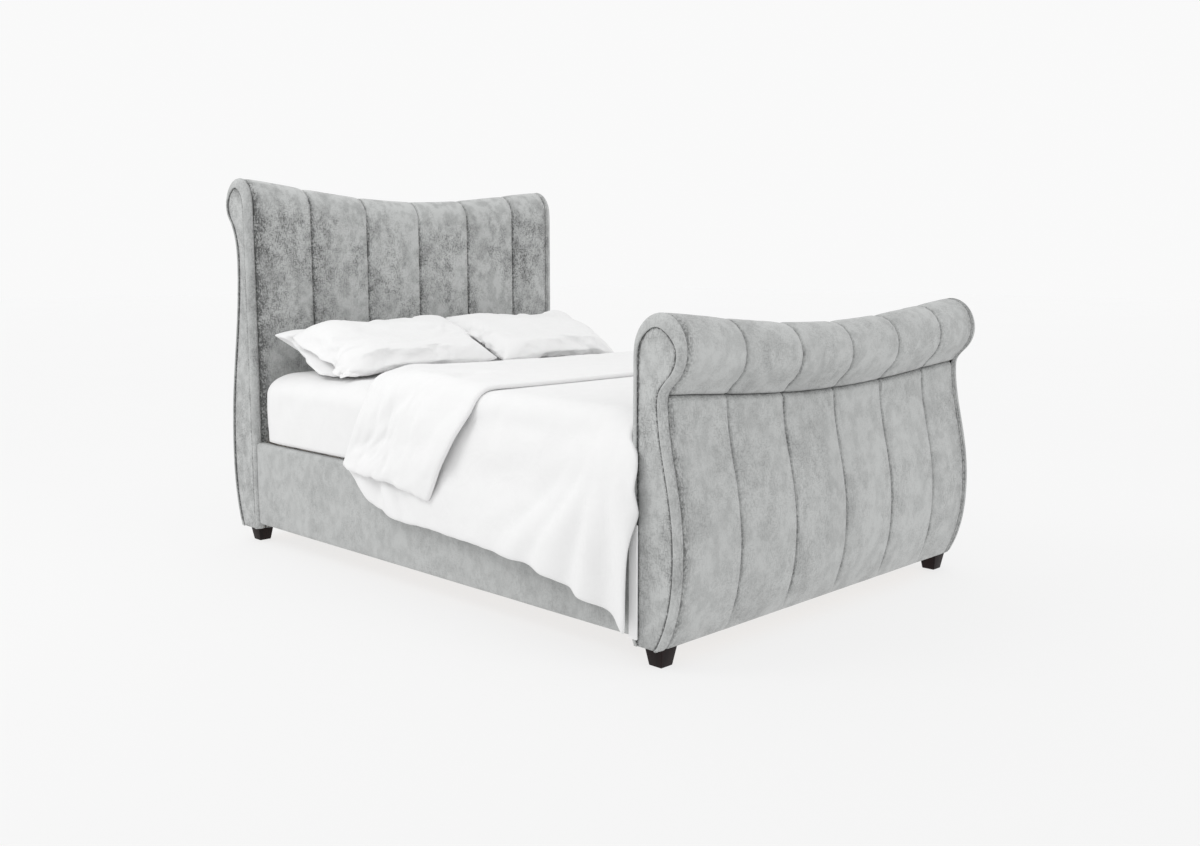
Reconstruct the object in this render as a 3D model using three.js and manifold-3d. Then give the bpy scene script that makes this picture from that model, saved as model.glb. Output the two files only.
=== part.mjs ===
// An upholstered sleigh bed with its mattress, duvet and pillows.
// Frame: +X across the bed, +Y from foot to head, +Z up, origin on the floor under the middle. Millimetres.

import * as THREE from 'three';
import { LoftGeometry } from 'three/addons/geometries/LoftGeometry.js';
import { RoundedBoxGeometry } from 'three/addons/geometries/RoundedBoxGeometry.js';
import { mergeVertices } from 'three/addons/utils/BufferGeometryUtils.js';
import Module from 'manifold-3d';

const wasm = await Module();
wasm.setup();

// ---- Driving dimensions ----

const gap = 0.3; // between two pieces that touch

const mattressWidth = 1500;
const mattressLength = 2000;
const mattressThickness = 310;
const mattressCorner = 55; // rounding of its edges
const mattressEndClearance = 12.5; // to each board
const mattressSideClearance = 6; // to each side rail
const mattressSink = 28; // how far it sits below the rails' top edges

const boardOverhang = 50; // of the two end boards past the mattress, each side
const padThickness = 20; // foam and fabric on the end boards
const ribThickness = 22;
const facingThickness = 9;
const facingRecess = 3; // behind the ends of the pads
const boardBase = 57; // underside of both boards
const boardStations = 12; // spans across a board's sagging top

// Both boards have the same outline: a straight inner face, a rolled top, a neck and a belly.
// Depths run outward from the inner face, and heights from the floor.
const headboard = {
  name: 'headboard',
  side: 1,
  height: 1432,
  rollDepth: 157,
  rollRise: 95,
  neckDepth: 84,
  neckDrop: 282,
  neckEase: 0.4,
  bellyDepth: 176,
  bellyHeight: 346,
  baseDepth: 130,
  sag: 66,
};
const footboard = {
  name: 'footboard',
  side: -1,
  height: 985,
  rollDepth: 176,
  rollRise: 100,
  neckDepth: 107,
  neckDrop: 218,
  neckEase: 0.35,
  bellyDepth: 168,
  bellyHeight: 325,
  baseDepth: 112,
  sag: 53,
};
const boards = [headboard, footboard];

const baseRailSlack = 7; // behind the rail that is laid flat to take the feet
const baseRailHeight = 44;
const middleRailDepth = 44;
const middleRailHeight = 90;
const rollRailSlack = 57; // how much narrower the square rail is than the inside of the roll

const railBottom = 77;
const railHeight = 326;
const railThickness = 22;
const railPadThickness = 14;
const railWrap = 4; // cover over the rail's top and bottom edges
const jointCoverWidth = 32;
const jointCoverThickness = 6;

const bracketLeg = 80;
const bracketHeight = 150;
const bracketThickness = 3;
const bracketDrop = 25; // below the slat ledger

const slatCount = 12;
const slatWidth = 70;
const slatThickness = 20;
const slatEndClearance = 3;
const ledgerSize = 30;
const centreRailWidth = 60;
const centreRailHeight = 70;
const centreLegSize = 45;
const centreLegSpacing = 900;
const hangerLength = 40;
const hangerThickness = 3;

const footTop = 66;
const footSole = 47;
const footInset = 33; // of its sole from the board's end
const footDepth = 66; // of its axis from the board's inner face

const duvetTopThickness = 50;
const duvetSideThickness = 32;
const duvetSideClearance = 2; // to the joint covers
const duvetFootClearance = 6; // to the footboard
const duvetPillowClearance = 34; // to the pillows
const duvetShoulder = 70;
// Along the duvet from its foot end: share of its length, and drop of the hem below the mattress top.
const duvetHem = [
  [0, 560],
  [0.08, 500],
  [0.26, 445],
  [0.58, 417],
  [0.74, 420],
  [0.88, 354],
  [1, 270],
];

const pillowLength = 730;
const pillowWidth = 480;
const pillowThickness = 75;
const pillowSquareness = 0.6; // 1 is an ellipsoid, and less is squarer
const pillowHeadClearance = 25;
const pillowMiddleClearance = 14;
const pillowTilt = 0.2; // radians, head side up
const upperPillowShift = 80; // toward the foot, along the lower pillow

// ---- Sizes that follow ----

const boardHalf = mattressWidth / 2 + boardOverhang;
const innerFace = mattressLength / 2 + mattressEndClearance;
const railInner = mattressWidth / 2 + mattressSideClearance;
const railTop = railBottom + railHeight;
const slatTop = railTop - mattressSink;
const ledgerTop = slatTop - slatThickness - gap;
const mattressTop = slatTop + gap + mattressThickness;
const facingOuter = boardHalf - facingRecess;
const ribOuter = facingOuter - facingThickness - gap;
const railSeat = padThickness + gap; // depth at which a board's rails lie against the inner pad
const bracketBase = ledgerTop - ledgerSize - bracketDrop - bracketHeight;
const middleRailCentre = bracketBase + bracketHeight / 2;
const pillowFront = innerFace - pillowHeadClearance - pillowWidth - upperPillowShift;

// ---- Materials ----

function cloth(colour) {
  return new THREE.MeshStandardMaterial({ color: colour, roughness: 0.95, metalness: 0 });
}

function timber(colour) {
  return new THREE.MeshStandardMaterial({ color: colour, roughness: 0.6, metalness: 0 });
}

const greyChenille = cloth(0xa9abab);
const jointFabric = cloth(0xc6c6c6);
const whiteCotton = cloth(0xf1f1f1);
const pine = timber(0xcfa877);
const plywood = timber(0xb98f5c);
const darkWood = timber(0x2a1616);
const zincSteel = new THREE.MeshStandardMaterial({ color: 0x9a9da0, roughness: 0.4, metalness: 1 });

// ---- Building blocks ----

const bed = new THREE.Group();

function add(name, geometry, material, position = [0, 0, 0], turn = [0, 0, 0]) {
  const mesh = new THREE.Mesh(geometry, material);
  mesh.name = name;
  mesh.position.set(...position);
  mesh.rotation.set(...turn);
  bed.add(mesh);
}

// A box between two corners, in place.
function boxBetween(low, high) {
  const size = low.map((value, i) => high[i] - value);
  const centre = low.map((value, i) => (high[i] + value) / 2);
  return new THREE.BoxGeometry(...size).translate(...centre);
}

// A solid skinned over closed sections, with its faces outward whichever way the sections wind.
function loft(sections) {
  const first = sections[0];
  const last = sections[sections.length - 1];
  const along = last[0].clone().sub(first[0]);
  const turning = new THREE.Vector3();
  first.forEach((point, i) => turning.add(point.clone().cross(first[(i + 1) % first.length])));
  const wound = turning.dot(along) > 0 ? sections : sections.map((section) => [...section].reverse());
  return new LoftGeometry(wound, { capStart: true, capEnd: true });
}

function solidFrom(geometry) {
  const bare = new THREE.BufferGeometry();
  bare.setAttribute('position', geometry.getAttribute('position'));
  bare.setIndex(geometry.getIndex());
  const merged = mergeVertices(bare, 1e-3);
  const mesh = new wasm.Mesh({
    numProp: 3,
    vertProperties: new Float32Array(merged.getAttribute('position').array),
    triVerts: new Uint32Array(merged.getIndex().array),
  });
  return new wasm.Manifold(mesh);
}

function cut(geometry, tools) {
  let solid = solidFrom(geometry);
  for (const tool of tools) {
    solid = solid.subtract(solidFrom(tool));
  }
  const mesh = solid.getMesh();
  const result = new THREE.BufferGeometry();
  result.setAttribute('position', new THREE.BufferAttribute(mesh.vertProperties, 3));
  result.setIndex(new THREE.BufferAttribute(mesh.triVerts, 1));
  return result;
}

// ---- Board outline ----

// From the bottom of the inner face, over the roll, to the neck.
function rollOutline(board) {
  const centreDepth = board.rollDepth / 2;
  const centreHeight = board.height - board.rollRise;
  const rollEnd = -0.28 * Math.PI;
  const arc = new THREE.EllipseCurve(
    centreDepth, centreHeight, centreDepth, board.rollRise, Math.PI, rollEnd, true);
  const start = new THREE.Vector2(0, boardBase);
  const neck = new THREE.Vector2(board.neckDepth, board.height - board.neckDrop);
  return [start, ...arc.getPoints(14), neck];
}

// From the neck, over the belly, to the base.
function bellyOutline(board) {
  const neck = new THREE.Vector2(board.neckDepth, board.height - board.neckDrop);
  const belly = new THREE.Vector2(board.bellyDepth, board.bellyHeight);
  const base = new THREE.Vector2(board.baseDepth, boardBase);
  const upper = neck.y - belly.y;
  const lower = belly.y - base.y;
  const flank = new THREE.CubicBezierCurve(
    neck,
    new THREE.Vector2(neck.x, neck.y - upper * board.neckEase),
    new THREE.Vector2(belly.x, belly.y + upper * 0.42),
    belly);
  const skirt = new THREE.CubicBezierCurve(
    belly,
    new THREE.Vector2(belly.x, belly.y - lower * 0.5),
    new THREE.Vector2((belly.x + 2 * base.x) / 3, base.y + lower * 0.25),
    base);
  return [...flank.getPoints(6), ...skirt.getPoints(4).slice(1)];
}

// The same line moved inward by a distance; its two ends move level.
function inset(outline, distance) {
  return outline.map((point, i) => {
    if (i === 0) {
      const inward = point.x === 0 ? 1 : -1;
      return new THREE.Vector2(point.x + inward * distance, point.y);
    }
    if (i === outline.length - 1) {
      return new THREE.Vector2(point.x - distance, point.y);
    }
    const before = point.clone().sub(outline[i - 1]).normalize();
    const after = outline[i + 1].clone().sub(point).normalize();
    const along = before.clone().add(after).normalize();
    const stretch = distance / Math.max(0.5, along.dot(after));
    return new THREE.Vector2(point.x + along.y * stretch, point.y - along.x * stretch);
  });
}

// The board's whole outline, moved inward.
function wholeOutline(board, distance) {
  const roll = inset(rollOutline(board), distance);
  const belly = inset(bellyOutline(board), distance);
  return [...roll, ...belly.slice(1)];
}

// The sag's shape across the board, 0 at its ends and 1 in the middle, straight between stations.
function sagShape(x) {
  const along = Math.min(boardStations, ((x + boardHalf) / (2 * boardHalf)) * boardStations);
  const station = Math.min(boardStations - 1, Math.floor(along));
  const curve = (index) => (1 - ((2 * index) / boardStations - 1) ** 2) ** 1.5;
  return THREE.MathUtils.lerp(curve(station), curve(station + 1), along - station);
}

// How far a point of the board is lowered, because its top edge sags toward the middle of the bed.
function sagAt(board, x, height) {
  const rise = Math.max(0, (height - boardBase) / (board.height - boardBase));
  return board.sag * rise * sagShape(x);
}

function place(board, x, point) {
  const y = board.side * (innerFace + point.x);
  return new THREE.Vector3(x, y, point.y - sagAt(board, x, point.y));
}

// A solid with one outline carried across part of a board, following the sag.
function across(board, outline, from, to, spans) {
  const sections = [];
  for (let i = 0; i <= spans; i += 1) {
    const x = from + ((to - from) * i) / spans;
    sections.push(outline.map((point) => place(board, x, point)));
  }
  return loft(sections);
}

function square(centreDepth, centreHeight, size) {
  const half = size / 2;
  return [
    new THREE.Vector2(centreDepth - half, centreHeight - half),
    new THREE.Vector2(centreDepth + half, centreHeight - half),
    new THREE.Vector2(centreDepth + half, centreHeight + half),
    new THREE.Vector2(centreDepth - half, centreHeight + half),
  ];
}

// ---- Board pieces ----

// A box that runs the board's width, grown by a margin on the faces that a rib meets.
function straightRail(board, depth, size, low, height, margin) {
  const near = board.side * (innerFace + depth - margin);
  const far = board.side * (innerFace + depth + size + margin);
  const reach = ribOuter + margin;
  return boxBetween(
    [-reach, Math.min(near, far), low - margin],
    [reach, Math.max(near, far), low + height + margin]);
}

function baseRail(board, margin = 0) {
  const depth = board.baseDepth - 2 * railSeat - baseRailSlack;
  return straightRail(board, railSeat, depth, boardBase + gap, baseRailHeight, margin);
}

function middleRail(board, margin = 0) {
  const low = middleRailCentre - middleRailHeight / 2;
  return straightRail(board, railSeat, middleRailDepth, low, middleRailHeight, margin);
}

function rollRail(board, margin = 0) {
  const size = board.rollDepth - 2 * railSeat - rollRailSlack;
  const section = square(board.rollDepth / 2, board.height - board.rollRise, size + 2 * margin);
  return across(board, section, -ribOuter - margin, ribOuter + margin, boardStations);
}

function rib(board, centre) {
  const outline = wholeOutline(board, padThickness + gap);
  const body = across(board, outline, centre - ribThickness / 2, centre + ribThickness / 2, 2);
  return cut(body, [baseRail(board, gap), middleRail(board, gap), rollRail(board, gap)]);
}

// A strip of padding that follows part of the outline.
function pad(board, outline, inner) {
  const section = [...outline, ...inner.reverse()];
  return across(board, section, -boardHalf, boardHalf, boardStations);
}

function rollPad(board) {
  const outline = rollOutline(board);
  return pad(board, outline, inset(outline, padThickness));
}

function bellyPad(board) {
  const lowered = (points) => points.map((point, i) => {
    return i === 0 ? new THREE.Vector2(point.x, point.y - gap) : point;
  });
  const outline = bellyOutline(board);
  return pad(board, lowered(outline), lowered(inset(outline, padThickness)));
}

function facing(board, side) {
  const outline = wholeOutline(board, padThickness + gap);
  const near = side * (facingOuter - facingThickness);
  const far = side * facingOuter;
  return across(board, outline, Math.min(near, far), Math.max(near, far), 1);
}

function addBoard(board) {
  const ribCentre = ribOuter - ribThickness / 2;
  add(`${board.name}_rib_left`, rib(board, -ribCentre), plywood);
  add(`${board.name}_rib_centre`, rib(board, 0), plywood);
  add(`${board.name}_rib_right`, rib(board, ribCentre), plywood);
  add(`${board.name}_base_rail`, baseRail(board), pine);
  add(`${board.name}_middle_rail`, middleRail(board), pine);
  add(`${board.name}_roll_rail`, rollRail(board), pine);
  add(`${board.name}_roll_pad`, rollPad(board), greyChenille);
  add(`${board.name}_belly_pad`, bellyPad(board), greyChenille);
  add(`${board.name}_facing_left`, facing(board, -1), greyChenille);
  add(`${board.name}_facing_right`, facing(board, 1), greyChenille);
}

// ---- Side rails ----

const railReach = innerFace - gap; // the rails end against the boards' inner faces

function sideRailBoard(side) {
  const near = side * railInner;
  const far = side * (railInner + railThickness);
  return boxBetween(
    [Math.min(near, far), -railReach, railBottom + railWrap + gap],
    [Math.max(near, far), railReach, railTop - railWrap - gap]);
}

// Foam and fabric over the rail's outer face, wrapped over its two edges.
function sideRailCover(side) {
  const outer = railInner + railThickness + gap + railPadThickness;
  const shell = boxBetween([railInner, -railReach, railBottom], [outer, railReach, railTop]);
  const core = boxBetween(
    [railInner - 1, -railReach - 1, railBottom + railWrap],
    [railInner + railThickness + gap, railReach + 1, railTop - railWrap]);
  const cover = cut(shell, [core]);
  return side > 0 ? cover : cover.rotateZ(Math.PI);
}

// A narrow wrapped strip that hides the joint between the rail and the footboard's end.
function jointCover(side) {
  const near = side * (boardHalf + gap);
  const far = side * (boardHalf + gap + jointCoverThickness);
  return boxBetween(
    [Math.min(near, far), -innerFace - jointCoverWidth, railBottom],
    [Math.max(near, far), -innerFace, railTop]);
}

// A steel angle that ties a rail to a board, inside the corner.
function railBracket(sideX, sideY) {
  const corner = new THREE.Shape([
    new THREE.Vector2(0, 0),
    new THREE.Vector2(bracketLeg, 0),
    new THREE.Vector2(bracketLeg, bracketThickness),
    new THREE.Vector2(bracketThickness, bracketThickness),
    new THREE.Vector2(bracketThickness, bracketLeg),
    new THREE.Vector2(0, bracketLeg),
  ]);
  const angle = new THREE.ExtrudeGeometry(corner, { depth: bracketHeight, bevelEnabled: false });
  const quarter = { '1,1': 2, '-1,1': 3, '1,-1': 1, '-1,-1': 0 }[`${sideX},${sideY}`];
  angle.rotateZ((quarter * Math.PI) / 2);
  return angle.translate(sideX * (railInner - gap), sideY * (innerFace - gap), bracketBase);
}

function addSideRails() {
  for (const [label, side] of [['left', -1], ['right', 1]]) {
    add(`side_rail_board_${label}`, sideRailBoard(side), pine);
    add(`side_rail_cover_${label}`, sideRailCover(side), greyChenille);
    add(`joint_cover_${label}`, jointCover(side), jointFabric);
    add(`rail_bracket_head_${label}`, railBracket(side, 1), zincSteel);
    add(`rail_bracket_foot_${label}`, railBracket(side, -1), zincSteel);
  }
}

// ---- Mattress support ----

function slatLedger(side) {
  const near = side * (railInner - gap);
  const far = side * (railInner - gap - ledgerSize);
  const reach = railReach - bracketThickness - gap;
  return boxBetween(
    [Math.min(near, far), -reach, ledgerTop - ledgerSize],
    [Math.max(near, far), reach, ledgerTop]);
}

function centreRail() {
  const half = centreRailWidth / 2;
  return boxBetween(
    [-half, -railReach, ledgerTop - centreRailHeight], [half, railReach, ledgerTop]);
}

// A steel channel that holds one end of the centre rail.
function railHanger() {
  const inner = centreRailWidth / 2 + gap;
  const outer = inner + hangerThickness;
  const top = ledgerTop - gap;
  const floor = ledgerTop - centreRailHeight - gap;
  const channel = new THREE.Shape([
    new THREE.Vector2(-outer, floor - hangerThickness),
    new THREE.Vector2(outer, floor - hangerThickness),
    new THREE.Vector2(outer, top),
    new THREE.Vector2(inner, top),
    new THREE.Vector2(inner, floor),
    new THREE.Vector2(-inner, floor),
    new THREE.Vector2(-inner, top),
    new THREE.Vector2(-outer, top),
  ]);
  const body = new THREE.ExtrudeGeometry(channel, { depth: hangerLength, bevelEnabled: false });
  return body.rotateX(Math.PI / 2).translate(0, hangerLength / 2, 0);
}

function centreLeg(y) {
  const half = centreLegSize / 2;
  const top = ledgerTop - centreRailHeight - gap;
  return boxBetween([-half, y - half, 0], [half, y + half, top]);
}

function addSlats() {
  const reach = railInner - slatEndClearance;
  const pitch = (mattressLength - slatWidth) / (slatCount - 1);
  for (let i = 0; i < slatCount; i += 1) {
    const y = (mattressLength - slatWidth) / 2 - i * pitch;
    const slat = boxBetween(
      [-reach, y - slatWidth / 2, slatTop - slatThickness], [reach, y + slatWidth / 2, slatTop]);
    add(`slat_${String(i + 1).padStart(2, '0')}`, slat, pine);
  }
}

function addBase() {
  add('slat_ledger_left', slatLedger(-1), pine);
  add('slat_ledger_right', slatLedger(1), pine);
  add('centre_rail', centreRail(), pine);
  const hangerPlace = railReach - hangerLength / 2;
  add('centre_rail_hanger_head', railHanger(), zincSteel, [0, hangerPlace, 0]);
  add('centre_rail_hanger_foot', railHanger(), zincSteel, [0, -hangerPlace, 0]);
  add('centre_leg_head', centreLeg(centreLegSpacing / 2), pine);
  add('centre_leg_foot', centreLeg(-centreLegSpacing / 2), pine);
  addSlats();
}

// ---- Feet ----

function foot() {
  const height = boardBase;
  const block = new THREE.CylinderGeometry(footTop / Math.SQRT2, footSole / Math.SQRT2, height, 4);
  return block.rotateY(Math.PI / 4).rotateX(Math.PI / 2).translate(0, 0, height / 2);
}

function addFeet() {
  const x = boardHalf - footInset - footSole / 2;
  const y = innerFace + footDepth;
  for (const [end, sideY] of [['head', 1], ['foot', -1]]) {
    for (const [label, sideX] of [['left', -1], ['right', 1]]) {
      add(`foot_${end}_${label}`, foot(), darkWood, [sideX * x, sideY * y, 0]);
    }
  }
}

// ---- Mattress and bedding ----

function addMattress() {
  const body = new RoundedBoxGeometry(
    mattressWidth, mattressLength, mattressThickness, 3, mattressCorner);
  add('mattress', body, whiteCotton, [0, 0, mattressTop - mattressThickness / 2]);
}

// One arch of the duvet: over the mattress and down past both side rails to the hem.
function duvetSection(y, hem) {
  const inner = boardHalf + gap + jointCoverThickness + duvetSideClearance;
  const outer = inner + duvetSideThickness;
  const ceiling = mattressTop + gap;
  const top = ceiling + duvetTopThickness;
  const half = [
    [inner, hem],
    [outer, hem],
    [outer, top - duvetShoulder],
    [outer - duvetShoulder, top],
  ];
  const innerHalf = [
    [inner - duvetShoulder, ceiling],
    [inner, ceiling - duvetShoulder],
  ];
  const mirrored = (points) => points.map(([x, z]) => [-x, z]).reverse();
  const ring = [...half, ...mirrored(half), ...mirrored(innerHalf), ...innerHalf];
  return ring.map(([x, z]) => new THREE.Vector3(x, y, z));
}

function addDuvet() {
  const footEnd = -innerFace + duvetFootClearance;
  const headEnd = pillowFront - duvetPillowClearance;
  const sections = duvetHem.map(([share, drop]) => {
    return duvetSection(THREE.MathUtils.lerp(footEnd, headEnd, share), mattressTop - drop);
  });
  add('duvet', loft(sections), whiteCotton);
}

function pillow() {
  const body = new THREE.SphereGeometry(1, 20, 12);
  const position = body.getAttribute('position');
  const half = [pillowLength / 2, pillowWidth / 2, pillowThickness / 2];
  const squared = (value) => {
    const kept = Math.abs(value) < 1e-9 ? 0 : value;
    return Math.sign(kept) * Math.abs(kept) ** pillowSquareness;
  };
  for (let i = 0; i < position.count; i += 1) {
    position.setXYZ(
      i,
      half[0] * squared(position.getX(i)),
      half[1] * squared(position.getY(i)),
      half[2] * squared(position.getZ(i)));
  }
  return body;
}

// The two pillows of a pair lie one on the other, with the same tilt.
function addPillows() {
  const x = pillowLength / 2 + pillowMiddleClearance / 2;
  const y = innerFace - pillowHeadClearance - pillowWidth / 2;
  const z = mattressTop + gap + pillowThickness / 2 + (pillowWidth / 2) * Math.sin(pillowTilt);
  const turn = [pillowTilt, 0, 0];
  const rise = pillowThickness + gap;
  const upperY = y - rise * Math.sin(pillowTilt) - upperPillowShift * Math.cos(pillowTilt);
  const upperZ = z + rise * Math.cos(pillowTilt) - upperPillowShift * Math.sin(pillowTilt);
  for (const [label, side] of [['left', -1], ['right', 1]]) {
    add(`pillow_lower_${label}`, pillow(), whiteCotton, [side * x, y, z], turn);
    add(`pillow_upper_${label}`, pillow(), whiteCotton, [side * x, upperY, upperZ], turn);
  }
}

// ---- Assembly ----

boards.forEach(addBoard);
addSideRails();
addBase();
addFeet();
addMattress();
addDuvet();
addPillows();

export default bed;
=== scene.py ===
# %% [markdown]
# # A dressed sleigh bed
# The timber and steel of this bed arrive as a finished frame, and this lesson adds what a
# maker adds last: the upholstery, the piping, the feet and the bedding. Every piece is laid
# over the frame's own measured boxes, in metres.

import math

import bmesh
import bpy
from mathutils import Matrix, Vector, noise


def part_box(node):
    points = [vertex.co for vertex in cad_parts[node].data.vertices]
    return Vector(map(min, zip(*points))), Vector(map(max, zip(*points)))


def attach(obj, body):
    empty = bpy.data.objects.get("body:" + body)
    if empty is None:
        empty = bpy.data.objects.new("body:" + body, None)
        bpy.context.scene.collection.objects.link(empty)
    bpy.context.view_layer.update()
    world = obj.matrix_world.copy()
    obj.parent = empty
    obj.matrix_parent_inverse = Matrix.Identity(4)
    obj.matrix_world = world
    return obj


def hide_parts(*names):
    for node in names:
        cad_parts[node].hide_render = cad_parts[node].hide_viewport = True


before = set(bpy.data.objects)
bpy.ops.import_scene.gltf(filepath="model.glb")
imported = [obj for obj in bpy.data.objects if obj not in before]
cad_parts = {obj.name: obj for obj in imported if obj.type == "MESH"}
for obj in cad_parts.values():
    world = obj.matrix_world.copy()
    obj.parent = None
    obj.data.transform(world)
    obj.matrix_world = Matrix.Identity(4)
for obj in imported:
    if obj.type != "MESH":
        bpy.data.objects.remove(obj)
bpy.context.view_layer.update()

# %% [markdown]
# ## The camera and the room
# A picture of furniture needs a plain room. A normal lens at chest height, tilted down only a
# little, keeps the verticals nearly upright. The camera could be aimed with a constraint, but
# plain numbers say exactly where it stands.

# %% Camera
camera_data = bpy.data.cameras.new("camera")
camera_data.lens = 36.02
camera_data.sensor_width = 36
camera = bpy.data.objects.new("camera", camera_data)
camera.location = (-3.162, -3.230, 1.133)
camera.rotation_euler = (math.radians(90 - 7.925), 0, math.radians(-45.34))
bpy.context.scene.collection.objects.link(camera)
bpy.context.scene.camera = camera
bpy.context.scene.view_settings.view_transform = "Standard"
print("camera lens", camera_data.lens, "mm")


# %% [markdown]
# ## Shader maths as expressions
# A finish is built from nodes. Writing each Math node by hand hides the idea, so a Signal
# wraps a node's output and Python's own operators add the nodes: `1 - mask` just works. Every
# other node comes from one method, `Finish.node`.

# %% Several properties at once
def set_all(target, **values):
    for name, value in values.items():
        setattr(target, name, value)


# %% Signals
class Signal:
    """One output of a finish's node tree. Arithmetic on it adds Math nodes."""

    def __init__(self, finish, socket):
        self.finish = finish
        self.socket = socket

    def maths(self, operation, *values):
        inputs = dict(enumerate(values))
        return self.finish.node("Math", {"operation": operation}, inputs)

    def __add__(self, other):
        return self.maths("ADD", self, other)

    def __sub__(self, other):
        return self.maths("SUBTRACT", self, other)

    def __rsub__(self, other):
        return self.maths("SUBTRACT", other, self)

    def __mul__(self, other):
        return self.maths("MULTIPLY", self, other)

    def larger(self, other):
        return self.maths("MAXIMUM", self, other)

    def ramp(self, low, high):
        """0 below low, 1 above high, and smooth between them."""
        settings = {"interpolation_type": "SMOOTHSTEP"}
        return self.finish.node("MapRange", settings, {0: self, 1: low, 2: high})


# %% Finishes
class Finish:
    """A material while it is built."""

    def __init__(self, name, roughness, metallic=0.0):
        self.material = bpy.data.materials.new(name)
        self.material.use_nodes = True
        self.tree = self.material.node_tree
        self.shader = self.tree.nodes["Principled BSDF"]
        self.set("Roughness", roughness)
        self.set("Metallic", metallic)

    def node(self, kind, settings=None, inputs=None, output=0):
        made = self.tree.nodes.new("ShaderNode" + kind)
        set_all(made, **(settings or {}))
        for name, value in (inputs or {}).items():
            self.feed(made.inputs[name], value)
        return Signal(self, made.outputs[output])

    def feed(self, socket, value):
        if isinstance(value, Signal):
            self.tree.links.new(value.socket, socket)
        else:
            socket.default_value = value

    def set(self, name, value):
        self.feed(self.shader.inputs[name], value)

    def place(self, scale=(1, 1, 1)):
        """Object coordinates, stretched."""
        coordinates = self.node("TexCoord", output=3)
        return self.node("Mapping", None, {"Vector": coordinates, "Scale": scale})

    def noise(self, scale, detail=2.0, stretch=(1, 1, 1), distortion=0.0):
        inputs = {"Vector": self.place(stretch), "Scale": scale, "Detail": detail,
                  "Distortion": distortion}
        return self.node("TexNoise", None, inputs)

    def attribute(self, name):
        return self.node("Attribute", {"attribute_name": name}, output=2)

    def blend(self, factor, first, second):
        """Two colours, mixed."""
        inputs = {0: factor, 6: first, 7: second}
        return self.node("Mix", {"data_type": "RGBA"}, inputs, output=2)

    def bump(self, height, strength, distance):
        inputs = {"Height": height, "Strength": strength, "Distance": distance}
        self.set("Normal", self.node("Bump", None, inputs))


def grey(value):
    """An even grey from a screen value of 0 to 255, as light."""
    share = value / 255
    light = share / 12.92 if share <= 0.04045 else ((share + 0.055) / 1.055) ** 2.4
    return (light, light, light, 1)


# %% [markdown]
# ## Chenille
# Chenille is woven from furry yarn, and crushing it leaves short dark dashes where the pile
# lies over, thick in some patches and thin in others. A photo texture would show its edges, so
# layers of stretched noise stand in: clouds, patches of rubbed pile a hand wide, smaller
# blotches, and upright and level dashes inside the patches. A painted seam attribute adds the
# ruffled pile beside each row of stitching, and painted shade in the grooves round the
# facings, in the neck creases and beside the headboard's seams. A calm attribute keeps the
# headboard's roll smooth.

# %% Chenille finish
def chenille(name, light, dark, crush):
    finish = Finish(name, 0.85)
    finish.set("Sheen Weight", 0.2)
    finish.set("Sheen Roughness", 0.45)
    clouds = finish.noise(4.5, 3.0, (1, 1, 0.7))
    patches = finish.noise(7.5, 3.0, (1, 1, 0.7)).ramp(0.34, 0.66)
    upright = finish.noise(240.0, 1.0, (1, 1, 0.32)).ramp(0.47, 0.69)
    level = finish.noise(240.0, 1.0, (0.36, 0.36, 1.1)).ramp(0.51, 0.71)
    dashes = upright.larger(level)
    grain = finish.noise(420.0, 1.0, (1, 1, 0.6))
    blotches = finish.noise(25.0, 3.0, (1, 1, 0.8)).ramp(0.36, 0.66)
    seam = finish.attribute("seam")
    seam_speckle = finish.noise(170.0, 1.5, (1, 1, 0.6)).ramp(0.36, 0.62)
    rubbed = (patches * 0.68 + 0.32) * (1 - finish.attribute("calm")) * crush
    # The seam attribute is ruffled pile along the stitching, and painted shade in grooves and
    # creases.
    marks = dashes * rubbed * 0.8 + seam * (seam_speckle * 0.7 + 0.2)
    uneven = (0.5 - clouds) * 0.5 + (0.5 - grain) * 0.3 + (blotches - 0.5) * (0.1 + crush * 0.34)
    shade = marks + rubbed * 0.16 + uneven + 0.1
    tone = finish.node("Clamp", None, {0: shade})
    finish.set("Base Color", finish.blend(tone, tinted(light), tinted(dark)))
    finish.bump(grain * 0.5 + (1 - dashes) * 0.5, 0.5, 0.0012)
    return finish.material


def tinted(value):
    """Grey with a trace of green, as the yarn has."""
    red, green, blue, solid = grey(value)
    return (red * 0.985, green * 1.005, blue * 0.995, solid)


board_cloth = chenille("chenille_footboard", 187, 110, 0.34)
head_cloth = chenille("chenille_headboard", 191, 92, 0.66)
facing_cloth = chenille("chenille_facing", 190, 98, 0.52)
band_cloth = chenille("chenille_band", 190, 92, 0.30)
rail_cloth = chenille("chenille_rail", 186, 112, 0.28)
print("chenille finishes", len([made for made in bpy.data.materials if "chenille" in made.name]))

# %% [markdown]
# ## Cotton, wood and steel
# White cotton is hardly textured at this size: a fine crumple in the bump is enough. Timber
# is drawn from rings stretched along the board. Steel is metallic with brushed roughness.

# %% Cotton, wood and steel finishes
def cotton(name, tone, crumple):
    finish = Finish(name, 0.8)
    finish.set("Sheen Weight", 0.15)
    soft = finish.noise(14.0, 3.0, distortion=0.6)
    weave = finish.noise(700.0, 1.0)
    finish.set("Base Color", finish.blend(soft, grey(tone - 5), grey(tone)))
    finish.bump(soft * 1.0 + weave * 0.03, crumple, 0.02)
    return finish.material


def timber(name, pale, deep, roughness, along):
    finish = Finish(name, roughness)
    stretch = tuple(0.06 if axis == along else 1.0 for axis in "XYZ")
    rings = finish.noise(60.0, 4.0, stretch, distortion=1.2).ramp(0.35, 0.65)
    pores = finish.noise(380.0, 2.0, stretch).ramp(0.55, 0.75)
    finish.set("Base Color", finish.blend(rings * 0.8 + pores * 0.2, pale, deep))
    finish.bump(pores + rings * 0.4, 0.2, 0.0006)
    return finish.material


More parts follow.
